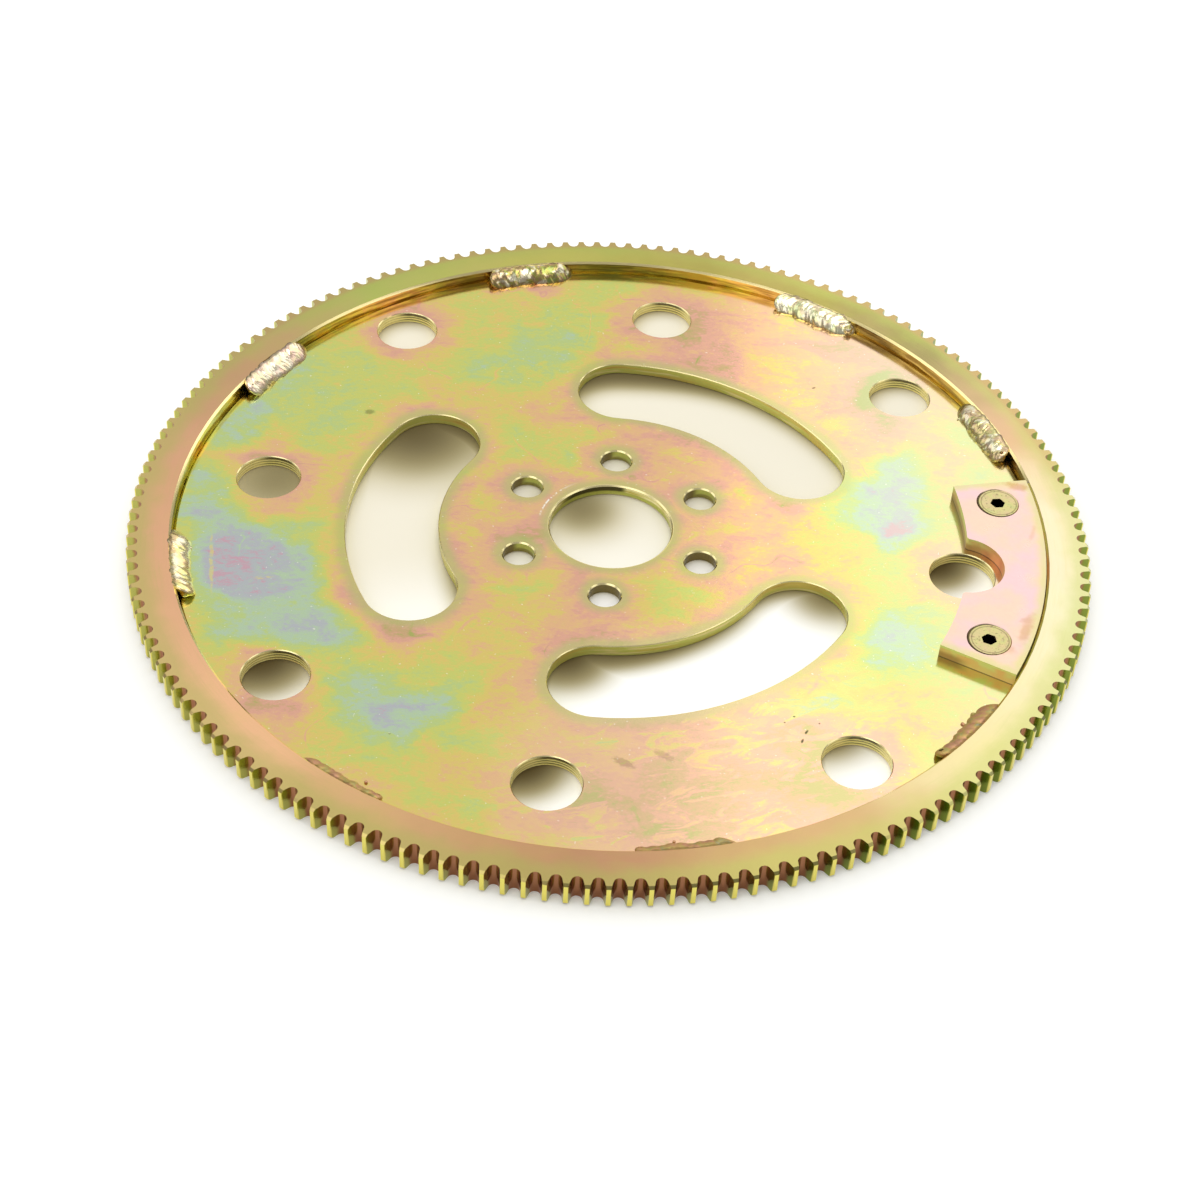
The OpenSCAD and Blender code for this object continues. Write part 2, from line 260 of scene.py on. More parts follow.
# a noise is given by size in mm, detail, roughness and twist, and a sway by its reach before these
disc = {
    "thicker": [  # x, y, reach, amount: blue and lilac clouds
        (-122, -56, 42, 0.36), (-136, -38, 26, 0.22), (-96, -80, 24, 0.26), (-46, 104, 26, 0.12),
        (-62, 86, 24, 0.14), (-118, 74, 26, 0.10), (-154, 28, 22, 0.26), (-50, -113, 24, 0.25),
        (-72, -104, 26, 0.24), (100, 32, 32, 0.42), (108, 54, 22, 0.24), (112, -42, 24, 0.26),
        (-152, -14, 24, 0.26), (-36, 122, 20, 0.06), (-140, 60, 22, 0.18), (-118, 36, 28, 0.06),
        (106, 18, 16, 0.24), (-128, -60, 16, 0.08),
    ],
    "thinner": [  # orange and pink clouds
        (30, 128, 52, 0.22), (82, 116, 42, 0.26), (-36, 2, 32, 0.16), (26, 50, 40, 0.16),
        (68, -122, 60, 0.34), (28, -146, 46, 0.26), (60, 2, 34, 0.26), (4, -52, 36, 0.14),
        (-64, -74, 22, 0.12), (100, -98, 32, 0.14), (-60, 140, 28, 0.14), (-100, -124, 22, 0.14),
        (94, 84, 26, 0.20), (20, -100, 30, 0.10),
    ],
    "core": 0.15,  # share of a cloud's reach that has its full amount
    "warp": (22, 36),  # size and reach of what pushes the clouds about
    "base": 0.48,
    "cloud": (0.24, 38, 5, 0.62, 0.9),
    "streak": (0.32, 14, 5, 0.58, 0.6),
    "fine": (0.13, 1.4, 2, 0.65, 0.0),
    "rolling": (7, 1.7),  # way of the sheet's rolling streaks in degrees, and how drawn out they are
    "ragged": (6, 12, 4, 0.62),
    "warmHoles": (135, 180, 225),  # converter holes with a thinner film round them
    "calmEdge": (3.0, 15.0, 0.16),  # how far from an edge the film thins, and by how much
    "warmEdge": (1.0, 15.0, 0.17),
    "warmLip": (0.0, 5.0, 0.05),
    "vein": (8, 4, 0.62, 1.0),
    "veinWay": (26, 2.4),
    "veinBand": (0.52, 0.62),
    "veinAmount": 0.24,
    "hair": (70, 3, 0.5, 0.3),
    "hairWidth": 0.006,
    "hairAmount": 0.14,
    "hairBreaks": (0.45, 0.6),
    "rim": tone(182, 192, 118),
    "rimReach": (1.2, 6.0),
    "rimAmount": 0.62,
    # painted glare: a paler colour towards the right of the disc, where the lamps' glare falls, and the span
    # over which it sets in
    "pale": tone(206, 210, 178),
    "paleReach": (55, 135),
    "glow": tone(252, 222, 180),
    "glowPlace": (56, -124),
    "glowReach": (44, 92),
    "wallStops": [
        (0.22, tone(196, 136, 72)), (0.40, tone(226, 206, 110)), (0.55, tone(214, 218, 116)),
        (0.66, tone(250, 234, 164)), (0.80, tone(222, 180, 96)),
    ],
    "boreStops": [
        (0.34, tone(96, 70, 18)), (0.44, tone(206, 186, 74)), (0.54, tone(255, 246, 190)),
        (0.64, tone(190, 186, 72)),
    ],
    # painted shade on the bore's far wall and on the converter holes' far walls and grooves
    "wallDark": tone(52, 38, 14),
    # painted shade on the crank holes' walls
    "wallBrown": tone(88, 52, 20),
    # painted highlight on the converter holes' side walls
    "wallBright": tone(255, 240, 160),
    "wallGreen": tone(176, 184, 84),
    "boreZone": (24.5, 25.5),  # radii up to which a wall is the bore's
    "crankZone": (54, 56),  # and up to which it is a crank hole's
    "converterZone": (108, 116),  # from here on it is a converter hole's
    "rimZone": (156, 158),  # and from here on the disc's own rim
    "boreShade": (82, 90, 138, 158),  # angles between which the bore's wall is dark
    "groovePitch": 1.2,
    "grooveDepth": 0.06,
    # painted highlight on the chamfers and the bore's lip
    "chamfer": tone(255, 240, 178),
    "marks": [  # x, y, turn, length, width, strength: dirt, nicks and scuffs
        (84, -92, 70, 2.6, 1.2, 0.9), (83, -96.5, 80, 3.4, 1.1, 0.85), (79, -85.5, 10, 1.2, 0.9, 0.8),
        (76, -89, 0, 0.9, 0.8, 0.7), (88, -87, 50, 1.1, 0.8, 0.7), (67.5, 101, 40, 2.2, 1.1, 0.75),
        (24, -119, -20, 11, 4.5, 0.30), (37, -113, -25, 10, 4.0, 0.24), (-105, 47, 15, 5, 4, 0.45),
        (-146, -80, 20, 1.2, 0.9, 0.6), (-57, -122, 0, 1.2, 1.0, 0.5), (98, 134, 30, 1.6, 0.8, 0.6),
    ],
    "markTone": tone(70, 64, 40),
    "scratches": [(-141, -51, -73, 43), (-120, -55, 16, 9)],  # x, y, turn, length
    "scratchWidth": 1.8,
    "scratchTone": tone(226, 214, 120),
    "sparkle": tone(255, 252, 236),
    "witnessR": 27.4,  # the broken bright ring round the bore
    "witnessAngle": (160, 36),  # its middle and how far it reaches to both sides
}


def windowDistance(surface):  # how far a place lies outside the nearest window
    first = math.radians(plate["windowFirst"])
    half = math.radians(plate["windowHalfSpan"])
    pitch = math.radians(plate["windowPitch"])
    turned = surface.angle * math.radians(1) - first + 3 * pitch + pitch / 2
    folded = surface.x.math("MODULO", turned, pitch) - pitch / 2
    held = surface.x.add("ShaderNodeClamp", None, {0: folded, 1: -half, 2: half})
    cosine = surface.x.math("COSINE", folded - held)
    square = surface.radius * surface.radius + plate["windowMidR"] ** 2
    square = square - surface.radius * cosine * (2 * plate["windowMidR"])
    return surface.x.math("SQRT", square) - plate["windowHalfWidth"]


def onCircle(radius, degrees):
    angle = math.radians(degrees)
    return radius * math.cos(angle), radius * math.sin(angle)


def converterPlaces():  # angle, then x, y and radius of each large hole
    places = []
    for quarter in range(4):
        for radius, turn in ((plate["converterInR"], 0), (plate["converterOutR"], 45)):
            degrees = 90 * quarter + turn
            places.append((degrees, (*onCircle(radius, degrees), plate["converterHoleR"])))
    return places


def crankPlaces():  # x, y and radius of each crank hole
    return [(*onCircle(plate["crankR"], degrees), plate["crankHoleR"]) for degrees in plate["crankAngles"]]


borePlace = (0, 0, plate["boreR"])


def nearestHole(surface, places, start=None):
    nearest = start
    for x, y, radius in places:
        gap = surface.away(surface.flat, x, y) - radius
        nearest = least(nearest, gap) if nearest else gap
    return nearest


def discFilm(surface, inner, ragged, lower, warped):  # how thick the film is, along its colours
    rolled = surface.drawn(*disc["rolling"])
    film = disc["base"] + surface.sway(*disc["cloud"])
    film = film + surface.sway(*disc["streak"], rolled)
    film = film + surface.sway(*disc["fine"], rolled)
    for sign, spots in ((1, disc["thicker"]), (-1, disc["thinner"])):
        for x, y, reach, amount in spots:
            spot = 1 - ease(surface.away(warped, x, y), disc["core"] * reach, reach)
            film = film + spot * (sign * amount)
    warm = nearestHole(surface, [place for turn, place in converterPlaces() if turn in disc["warmHoles"]])
    calmHoles = [place for turn, place in converterPlaces() if turn not in disc["warmHoles"]]
    calm = nearestHole(surface, calmHoles, inner)
    edges = [(calm + ragged, disc["calmEdge"]), (warm + ragged, disc["warmEdge"]),
             (warm + ragged * 0.5, disc["warmLip"])]
    for edge, (low, high, amount) in edges:
        film = film - (1 - ease(edge, low, high)) * amount
    veins = surface.noise(*disc["vein"], surface.drawn(*disc["veinWay"]))
    film = film + ease(veins, *disc["veinBand"]) * lower * disc["veinAmount"]
    broken = ease(surface.noise(20, 2), *disc["hairBreaks"])
    hairs = bump(surface.noise(*disc["hair"]), 0.5, disc["hairWidth"])
    return film - hairs * broken * disc["hairAmount"]


def discWear(surface, colour):  # dirt, scratches and sparkle over the film
    shown = ease(surface.facing, 0.3, 0.6)  # dirt and scratches are on the upper face alone
    crumbs = surface.noise(1.2, 2)
    for x, y, turn, length, width, strength in disc["marks"]:
        mark = 1 - ease(surface.spot(x, y, turn, length, width) + crumbs - 0.5, 0.4, 1.0)
        colour = blendColour(mark * shown * strength, colour, disc["markTone"])
    wavy = surface.drift(7, 3)
    skips = ease(surface.noise(3, 2), 0.36, 0.56)
    for x, y, turn, length in disc["scratches"]:
        worn = 1 - ease(surface.spot(x, y, turn, length, disc["scratchWidth"], wavy), 0.5, 1.0)
        colour = blendColour(worn * skips * shown * 0.6, colour, disc["scratchTone"])
    specks = ease(surface.noise(1.1, 1), 0.74, 0.80)
    colour = blendColour(specks * 0.5, colour, disc["sparkle"])
    dashes = ease(surface.noise(2.2, 2, 0.5, 0.0, surface.turned(0.5)), 0.40, 0.48)
    witness = bump(surface.radius, disc["witnessR"], 0.6) * bump(surface.angle, *disc["witnessAngle"])
    return blendColour(witness * dashes * shown, colour, disc["sparkle"])


def middleWall(surface):  # colour of the walls of windows, crank holes and bore, with painted shade low on the crank holes' walls, on their walls that face right, and on the bore's far wall
    layers = surface.noise(1.6, 3, 0.55, 0.2, surface.layered(16))
    wall = ramp(layers, disc["wallStops"])
    bore = 1 - ease(surface.radius, *disc["boreZone"])
    crank = (1 - bore) * (1 - ease(surface.radius, *disc["crankZone"]))
    wall = blendColour((bore + crank) * 0.8, wall, disc["wallGreen"])
    # painted shade on the crank holes' walls: brown low down, on the walls that face right and in the holes
    # towards the near right
    upper = ease(surface.z + (layers - 0.5) * 2, 1.6, 2.6)
    closeRight = ease(surface.x * 0.5 - surface.y, 12, 24)
    brown = most(ease(surface.facingX, 0.15, 0.6), closeRight) * 0.8
    wall = blendColour(crank * most(brown, (1 - upper) * 0.6), wall, disc["wallBrown"])
    first, full, fading, last = disc["boreShade"]
    shady = ease(surface.angle, first, full) * (1 - ease(surface.angle, fading, last))
    lines = surface.noise(0.7, 2, 0.5, 0.0, surface.layered(30))
    wall = blendColour(bore * upper * (1 - shady), wall, ramp(lines, disc["boreStops"]))
    return blendColour(bore * upper * shady * 0.92, wall, disc["wallDark"])


def converterWall(surface, wall, outer, grooves):  # painted highlight in gold at the sides, painted shade at the far side and in the grooves
    topThird = ease(surface.z + surface.noise(4, 2), 3.4, 4.2)
    sideways = ease(absolute(surface.facingX + 0.1), 0.3, 0.75)
    wall = blendColour(outer * (0.6 + sideways * 0.4), wall, disc["wallBright"])
    grooveShade = most(ease(grooves, 0.2, 0.8) * (0.9 - sideways * 0.65), (1 - sideways) * topThird * 0.9)
    return blendColour(outer * grooveShade, wall, disc["wallDark"])


def discPlating():
    surface = Surface("disc_plating")
    warped = surface.drift(*disc["warp"])
    ragged = surface.sway(*disc["ragged"])
    lower = 1 - ease(surface.away(warped, *disc["glowPlace"]), *disc["glowReach"])
    inner = least(windowDistance(surface), nearestHole(surface, [borePlace] + crankPlaces()))
    colour = ramp(discFilm(surface, inner, ragged, lower, warped), filmStops)
    rim = (1 - ease(inner + ragged * 0.4, *disc["rimReach"])) * disc["rimAmount"]
    colour = blendColour(rim, colour, disc["rim"])
    # painted glare, paler towards the right of the disc
    pale = ease(surface.x * 0.9 + surface.y * 0.25 + ragged, *disc["paleReach"]) * 0.5
    colour = blendColour(pale, colour, disc["pale"])
    colour = blendColour(lower * 0.3, colour, disc["glow"])
    colour = discWear(surface, colour)
    upright = surface.upright(0.3, 0.6)
    outer = ease(surface.radius, *disc["converterZone"])
    wobble = surface.noise(6, 2) * 2
    grooves = surface.x.math("SINE", surface.z * (2 * math.pi / disc["groovePitch"]) + wobble)
    wall = converterWall(surface, middleWall(surface), outer, grooves)
    colour = blendColour(upright, colour, wall)
    # painted highlight on the chamfers that face the eye, and on the bore's lip
    chamfer = bump(surface.facing, 0.7, 0.22) * (1 - ease(surface.radius, *disc["rimZone"]))
    chamfer = chamfer * ease(surface.facingX * 0.3 - surface.facingY, -0.25, 0.2)
    boreLipHighlight = bump(surface.radius, plate["boreR"] + 0.5, 0.35) * (1 - upright)
    colour = blendColour(most(chamfer, boreLipHighlight * 0.6), colour, disc["chamfer"])
    height = surface.noise(0.9, 3, 0.6) * 0.006 + grooves * outer * upright * disc["grooveDepth"]
    roughness = 0.10 + surface.noise(22, 3) * 0.10 + chamfer * 0.12
    return surface.finish(colour, roughness, height, 1.0, 1.0, 1 - upright * (0.6 + outer * 0.35))


gear = {
    "stops": [  # colours of the ring's top face from the left, by the near side, right and far side: the plating's tone with a painted sheen, lighter at the right and lower left and darker at the near and far sides
        (0.00, tone(222, 168, 132)), (0.06, tone(232, 178, 138)), (0.14, tone(250, 196, 150)),
        (0.20, tone(220, 176, 126)), (0.27, tone(190, 142, 106)), (0.34, tone(188, 156, 108)),
        (0.41, tone(216, 203, 154)), (0.48, tone(217, 212, 175)), (0.53, tone(224, 211, 177)),
        (0.58, tone(198, 165, 126)), (0.64, tone(136, 131, 79)), (0.72, tone(168, 158, 78)),
        (0.80, tone(190, 187, 93)), (0.88, tone(178, 190, 96)), (0.94, tone(198, 158, 116)),
        (1.00, tone(222, 168, 132)),
    ],
    "film": 0.36,
    "filmSway": (0.35, 26, 4, 0.6, 0.5),
    "lathe": (0.9, 3, 0.7, 0.0),  # fine turned lines
    # painted highlight on the tooth tips
    "tip": tone(226, 214, 108),
    "flank": tone(178, 176, 92),
    "flankRight": tone(132, 146, 62),
    "right": (20, 110),  # x between which the flanks turn to the right side's colour
    # painted shade in the gaps between the teeth
    "gap": tone(156, 106, 76),
    "far": tone(190, 150, 108),
    "farSide": (40, 100),  # y between which the teeth turn to the far side's colour
    "green": tone(176, 184, 96),
    "greenWidth": 9,
    "wall": tone(240, 216, 136),
    "wallDark": tone(172, 146, 82),
    # painted highlight on the chamfer round the ring's bore
    "chamfer": tone(255, 236, 168),
    "besideWeight": (19.2, 19.8),  # angles at which the weight ends
    "rootR": plate["ringTip"] - plate["toothDepth"],
}


def toothFlank(surface):  # painted shade dark in the gap and lighter up the flank, painted highlight bright on the tip
    root = gear["rootR"]
    depth = surface.radius + surface.sway(0.6, 2.5, 2)
    side = blendColour(ease(surface.x, *gear["right"]), gear["flank"], gear["flankRight"])
    flank = blendColour(ease(depth, root + 0.6, root + 2.2), gear["gap"], side)
    tip = ease(surface.radius, plate["ringTip"] - 0.5, plate["ringTip"] - 0.3)
    return blendColour(tip, flank, gear["tip"])


def gearPlating():
    surface = Surface("gear_plating")
    root = gear["rootR"]
    boreR = plate["ringBoreR"]
    # the plating's tone round the ring together with its painted sheen
    colour = ramp(surface.around + surface.sway(0.025, 30, 3), gear["stops"])
    film = gear["film"] + surface.sway(*gear["filmSway"])
    colour = blendColour(surface.noise(18, 3) * 0.22, colour, ramp(film, filmStops))
    lines = surface.noise(*gear["lathe"], surface.turned(0.12))
    colour = blendColour(ease(lines, 0.45, 0.8) * 0.14, colour, gear["green"])
    edge = ease(surface.radius + surface.sway(4.5, 12, 3), root - gear["greenWidth"], root)
    colour = blendColour(edge * 0.5, colour, gear["green"])
    farTeeth = ease(surface.radius, root - 2.5, root + 1) * ease(surface.y, *gear["farSide"])
    colour = blendColour(farTeeth * 0.6, colour, gear["far"])
    upright = surface.upright(0.4, 0.7)
    teeth = ease(surface.radius, root - 0.4, root - 0.2) * upright
    colour = blendColour(teeth, colour, toothFlank(surface))
    bore = (1 - ease(surface.radius, boreR + 0.9, boreR + 1.3)) * upright
    band = surface.noise(1.6, 3, 0.6, 0.2, surface.layered(14))
    wall = blendColour(ease(band, 0.4, 0.6), gear["wallDark"], gear["wall"])
    colour = blendColour(bore, colour, wall)
    # painted highlight on the chamfer round the ring's bore, left off beside the weight
    inside = 1 - ease(surface.radius, boreR + 1.2, boreR + 1.6)
    beside = 1 - ease(absolute(surface.angle), *gear["besideWeight"])
    chamfer = bump(surface.facing, 0.7, 0.25) * inside * (1 - beside)
    colour = blendColour(chamfer, colour, gear["chamfer"])
    roughness = 0.14 + surface.noise(14, 3) * 0.10
    return surface.finish(colour, roughness, lines + surface.noise(0.8, 2) * 0.5, 0.10, 0.06)


weight = {
    "top": tone(224, 192, 192),
    "warm": tone(228, 198, 174),
    "grain": tone(216, 162, 156),
    "edge": tone(204, 200, 130),
    "green": tone(228, 232, 142),
    "brown": tone(242, 196, 120),
    "stain": tone(186, 138, 66),
    "shady": tone(132, 92, 50),
    "red": tone(255, 150, 112),
    "line": tone(52, 44, 22),
    "stains": [  # x, y, turn, length, width, strength
        (151, 50, -10, 16, 6, 0.55), (157, -30, 80, 20, 6, 0.45), (150, -42, 0, 10, 6, 0.30),
        (158, 24, 80, 16, 3, 0.25),
    ],
    "outerR": plate["ringBoreR"] - 0.5,
    "midR": 150,
    "halfSpan": 19.35,
    "innerEdge": (141, 147),  # radii up to which a wall is the inner edge's
    "notchR": (138, 142),  # radii from which on it is the notch's
    "notchY": (6, 14),  # middle of the notch's reddest part, and its reach
}


def weightFlank(surface):  # colour of the weight's upright faces
    top = plate["weightTop"]
    depth = surface.z + surface.sway(0.8, 5, 3)
    flank = blendColour(ease(surface.noise(9, 3), 0.42, 0.62), weight["brown"], weight["green"])
    flank = blendColour((1 - ease(depth, top - 3.5, top - 1.2)) * 0.5, flank, weight["brown"])
    flank = blendColour(ease(depth, top - 1.4, top - 0.6), flank, weight["green"])
    inside = 1 - ease(surface.radius, *weight["innerEdge"])
    flank = blendColour(inside * (1 - ease(depth, top - 4, top - 1.5)) * 0.62, flank, weight["shady"])
    notch = bump(surface.y, *weight["notchY"]) * ease(surface.radius, *weight["notchR"])
    flank = blendColour(notch * 0.7, flank, weight["red"])
    foot = 1 - ease(surface.z, plate["discTop"] + 0.1, plate["discTop"] + 0.4)
    return blendColour(foot * 0.8, flank, weight["line"])


def weightPlating():
    surface = Surface("weight_plating")
    colour = blendColour(ease(surface.noise(16, 3), 0.4, 0.65), weight["top"], weight["warm"])
    colour = blendColour(surface.noise(1.2, 3) * 0.25, colour, weight["grain"])
    ends = (weight["halfSpan"] - absolute(surface.angle)) * (math.radians(1) * weight["midR"])
    border = least(ends, weight["outerR"] - surface.radius) + surface.sway(2, 5, 3)
    colour = blendColour((1 - ease(border, 0.5, 4.5)) * 0.7, colour, weight["edge"])
    blot = surface.sway(0.8, 4, 4)
    for x, y, turn, length, width, strength in weight["stains"]:
        stain = 1 - ease(surface.spot(x, y, turn, length, width) + blot, 0.2, 1.0)
        colour = blendColour(stain * strength, colour, weight["stain"])
    side = 1 - ease(surface.facing, 0.4, 0.8)
    colour = blendColour(side, colour, weightFlank(surface))
    roughness = 0.24 + surface.noise(9, 3) * 0.1
    return surface.finish(colour, roughness, surface.noise(0.8, 3, 0.6), 0.08, 0.05, 1 - side * 0.7)


screw = {
    "headR": 7.75,
    "circleR": 149.5,
    "angles": (-14.8, 14.8),
    "socketTop": (1.2, 0.2),  # depths under the head between which painted shade darkens the socket
    "socketFloor": (3.4, 3.0),  # and under which the shank is plated again
    "gold": tone(180, 178, 126),
    "pink": tone(188, 164, 126),
    "line": tone(60, 44, 20),
    # painted shade inside the socket
    "dark": tone(26, 22, 12),
}


def screwPlating():
    surface = Surface("screw_plating")
    film = 0.40 + surface.sway(0.4, 4, 3)
    colour = blendColour(0.55 + surface.noise(2, 2) * 0.4, ramp(film, filmStops), screw["gold"])
    colour = blendColour(ease(surface.noise(2.6, 3), 0.52, 0.66) * 0.5, colour, screw["pink"])
    places = [onCircle(screw["circleR"], degrees) for degrees in screw["angles"]]
    fromMiddle = least(*(surface.away(surface.flat, x, y) for x, y in places))
    colour = blendColour(bump(fromMiddle, screw["headR"] - 1.0, 0.4) * 0.5, colour, screw["line"])
    colour = blendColour(ease(fromMiddle, screw["headR"] - 0.4, screw["headR"]) * 0.9, colour, screw["line"])
    speckle = ease(surface.noise(0.9, 2), 0.58, 0.68)
    colour = blendColour(speckle * 0.35, colour, screw["line"])
    # painted shade, nearly black, inside the socket
    socketShade = 1 - ease(surface.z, *(plate["weightTop"] - depth for depth in screw["socketTop"]))
    socket = ease(surface.z, *(plate["weightTop"] - depth for depth in screw["socketFloor"]))
    colour = blendColour(socketShade * socket, colour, screw["dark"])
    return surface.finish(colour, 0.24, surface.noise(0.7, 2), 0.14, 0.05)


# the eight beads: angle, size, shift from the ring, lean of the ripples, end and size of the pit,
# balls of spatter, size of the end's knob and seed of the small differences
beads = {
    "weld_bead_1": {"angle": 32, "size": 0.98, "in": 0.0, "lean": -1,
                    "pit": -1, "pitR": 1.2, "drops": 2, "knob": 2.2, "seed": 3},
    "weld_bead_2": {"angle": 67, "size": 1.02, "in": 0.0, "lean": 1,
                    "pit": -1, "pitR": 1.3, "drops": 2, "knob": 1.8, "seed": 5},
    "weld_bead_3": {"angle": 111.5, "size": 0.98, "in": 0.5, "lean": 1,
                    "pit": 1, "pitR": 0.9, "drops": 4, "knob": 2.3, "seed": 8},
    "weld_bead_4": {"angle": 156.5, "size": 1.04, "in": 0.0, "lean": 1,
                    "pit": 1, "pitR": 1.3, "drops": 2, "knob": 1.8, "seed": 13},
    "weld_bead_5": {"angle": 200, "size": 1.02, "in": 0.0, "lean": 1,
                    "pit": 1, "pitR": 1.1, "drops": 2, "knob": 2.0, "seed": 21},
    "weld_bead_6": {"angle": 245, "size": 0.80, "in": -1.3, "lean": 1,
                    "pit": 1, "pitR": 1.0, "drops": 1, "knob": 0, "seed": 34},
    "weld_bead_7": {"angle": 288.5, "size": 0.84, "in": -1.0, "lean": -1,
                    "pit": -1, "pitR": 1.0, "drops": 1, "knob": 0, "seed": 55},
    "weld_bead_8": {"angle": 330, "size": 0.88, "in": -0.6, "lean": -1,
                    "pit": -1, "pitR": 1.0, "drops": 2, "knob": 0, "seed": 89},
}
puddle = {
    "spacing": 3.4,  # from one ripple to the next
    "half": (5.2, 6.2, 2.2),  # along the slope, along the seam and out of it
    "midR": 161.7,
    "midZ": 6.0,
    "slope": 36,
    "lean": 22,
    "run": 26,  # from the first ripple's middle to the last one's
    "pitPast": 3.6,  # the pit's middle past the last ripple's, and how it lies in and up from the bead's
    "pitIn": 0.6,
    "pitUp": 1.6,
    "dropRun": 16,
    "dropR": (157.0, 158.2),
    "dropSize": (0.5, 0.9),
    "knobSunk": 0.8,
    "voxel": 0.33,
    "rough": 0.9,  # how far clouds push the bead's skin in and out
    "cloudSize": 8,
    "smoothing": 5,
    "sunkUnder": 0.5,  # how far the bead goes on under the disc's face
    "sunkBehind": 1.0,  # and behind the ring's bore
    "chevron": 2.0,  # from one fine ripple to the next
    "crestR": 160.5,  # where the fine ripples bend
    "stops": [  # each bead's tint by its angle: the film's colour with painted light, white on the beads that catch the lamps, dark green on the one that catches none, and brown painted shade on the beads behind the ring's near side
        (0.00, tone(255, 236, 170)), (0.10, tone(178, 134, 98)), (0.48, tone(204, 194, 150)),
        (0.64, tone(240, 240, 200)), (0.75, tone(96, 106, 46)), (0.86, tone(255, 232, 214)),
        (0.97, tone(255, 236, 170)),
    ],
    "bright": tone(255, 248, 224),
    "toe": tone(176, 136, 84),
    "seam": tone(96, 70, 30),
    # painted shade, nearly black, inside the pits
    "pit": tone(14, 11, 8),
}


def beadAxes(degrees):  # radial, slope, seam and outward directions of a bead at an angle
    angle = math.radians(degrees)
    slope = math.radians(puddle["slope"])
    radial = Vector((math.cos(angle), math.sin(angle), 0))
    seam = Vector((-math.sin(angle), math.cos(angle), 0))
    up = Vector((0, 0, 1))
    along = radial * math.cos(slope) + up * math.sin(slope)
    out = up * math.cos(slope) - radial * math.sin(slope)
    return radial, along, seam, out


def alongSeam(bead, shift):  # the angle at a distance from a bead's middle
    return bead["angle"] + math.degrees(shift / puddle["midR"])


def pitPlace(bead):  # middle of the dark hole at a bead's end
    radial = beadAxes(alongSeam(bead, bead["pit"] * (puddle["run"] / 2 + puddle["pitPast"])))[0]
    return radial * (puddle["midR"] - puddle["pitIn"]) + Vector((0, 0, puddle["midZ"] + puddle["pitUp"]))


def weldPlating():
    surface = Surface("weld_plating")
    film = 0.40 + surface.sway(0.8, 4, 3, 0.6, 0.8)
    own = ramp(surface.around, puddle["stops"], "CONSTANT")
    colour = blendColour(0.35 + surface.noise(2, 2) * 0.4, ramp(film, filmStops), own)
    nearShaded = ease(surface.x * 0.25 - surface.y, 60, 90)  # the beads behind the ring's near side, kept dull and without bright patches as painted shade
    patch = ease(surface.noise(4.5, 2, 0.5, 0.6), 0.46, 0.62)
    colour = blendColour(patch * (1 - nearShaded) * 0.6, colour, puddle["bright"])
    foot = surface.z + surface.sway(0.6, 1.5, 2)
    toe = 1 - ease(foot, plate["discTop"] + 0.1, plate["discTop"] + 0.9)
    colour = blendColour(toe * 0.35, colour, puddle["toe"])
    back = surface.radius + surface.sway(0.8, 1.4, 3)
    seam = ease(back, plate["ringBoreR"] - 0.9, plate["ringBoreR"])
    colour = blendColour(seam * 0.6, colour, puddle["seam"])
    # painted shade in each bead's pit
    for bead in beads.values():
        toPit = surface.away(surface.point, *pitPlace(bead))
        dark = 1 - ease(toPit, bead["pitR"] * 0.8, bead["pitR"] * 1.05)
        colour = blendColour(dark, colour, puddle["pit"])
    bent = absolute(surface.radius - puddle["crestR"]) * 0.8
    seamPlace = surface.angle * (math.radians(1) * puddle["midR"]) + bent + surface.noise(5, 2) * 3
    chevrons = surface.x.math("SINE", seamPlace * (2 * math.pi / puddle["chevron"]))
    roughness = 0.18 + surface.noise(5, 2) * 0.16 + nearShaded * 0.3
    height = (chevrons * 0.026 + surface.noise(1.8, 2, 0.5) * 0.05) * (1 - nearShaded * 0.8)
    return surface.finish(colour, roughness, height, 1.0, 1.0)


# the floor's colours: white, with painted shade in cream, olive and dark tones on the floor under the plate
ground = {
    "reach": (16, 9),  # how far the shade of the windows' far edges falls, at the left and at the right
    "underR": (156, 164),  # radii up to which the floor lies under the plate
    "white": tone(253, 253, 250),
    "cream": tone(222, 214, 190),
    "olive": tone(176, 164, 118),
    "dark": tone(76, 62, 22),
    "shade": (-6, 14, 0.8),  # distances from an opening's edge between which shade sets in, and its amount
    "pools": [  # x, y, reach, strength: soft shade under the far edges
        (-13, 12, 32, 0.68), (-85, 44, 56, 0.85), (85, -16, 32, 0.7), (-5, -68, 34, 0.9),
        (-132, 4, 44, 0.66), (-111, -92, 36, 0.95), (-11, -122, 32, 1.0), (91, -86, 30, 0.75),
        (123, 10, 29, 1.0),
    ],
    "glow": 0.08,
}


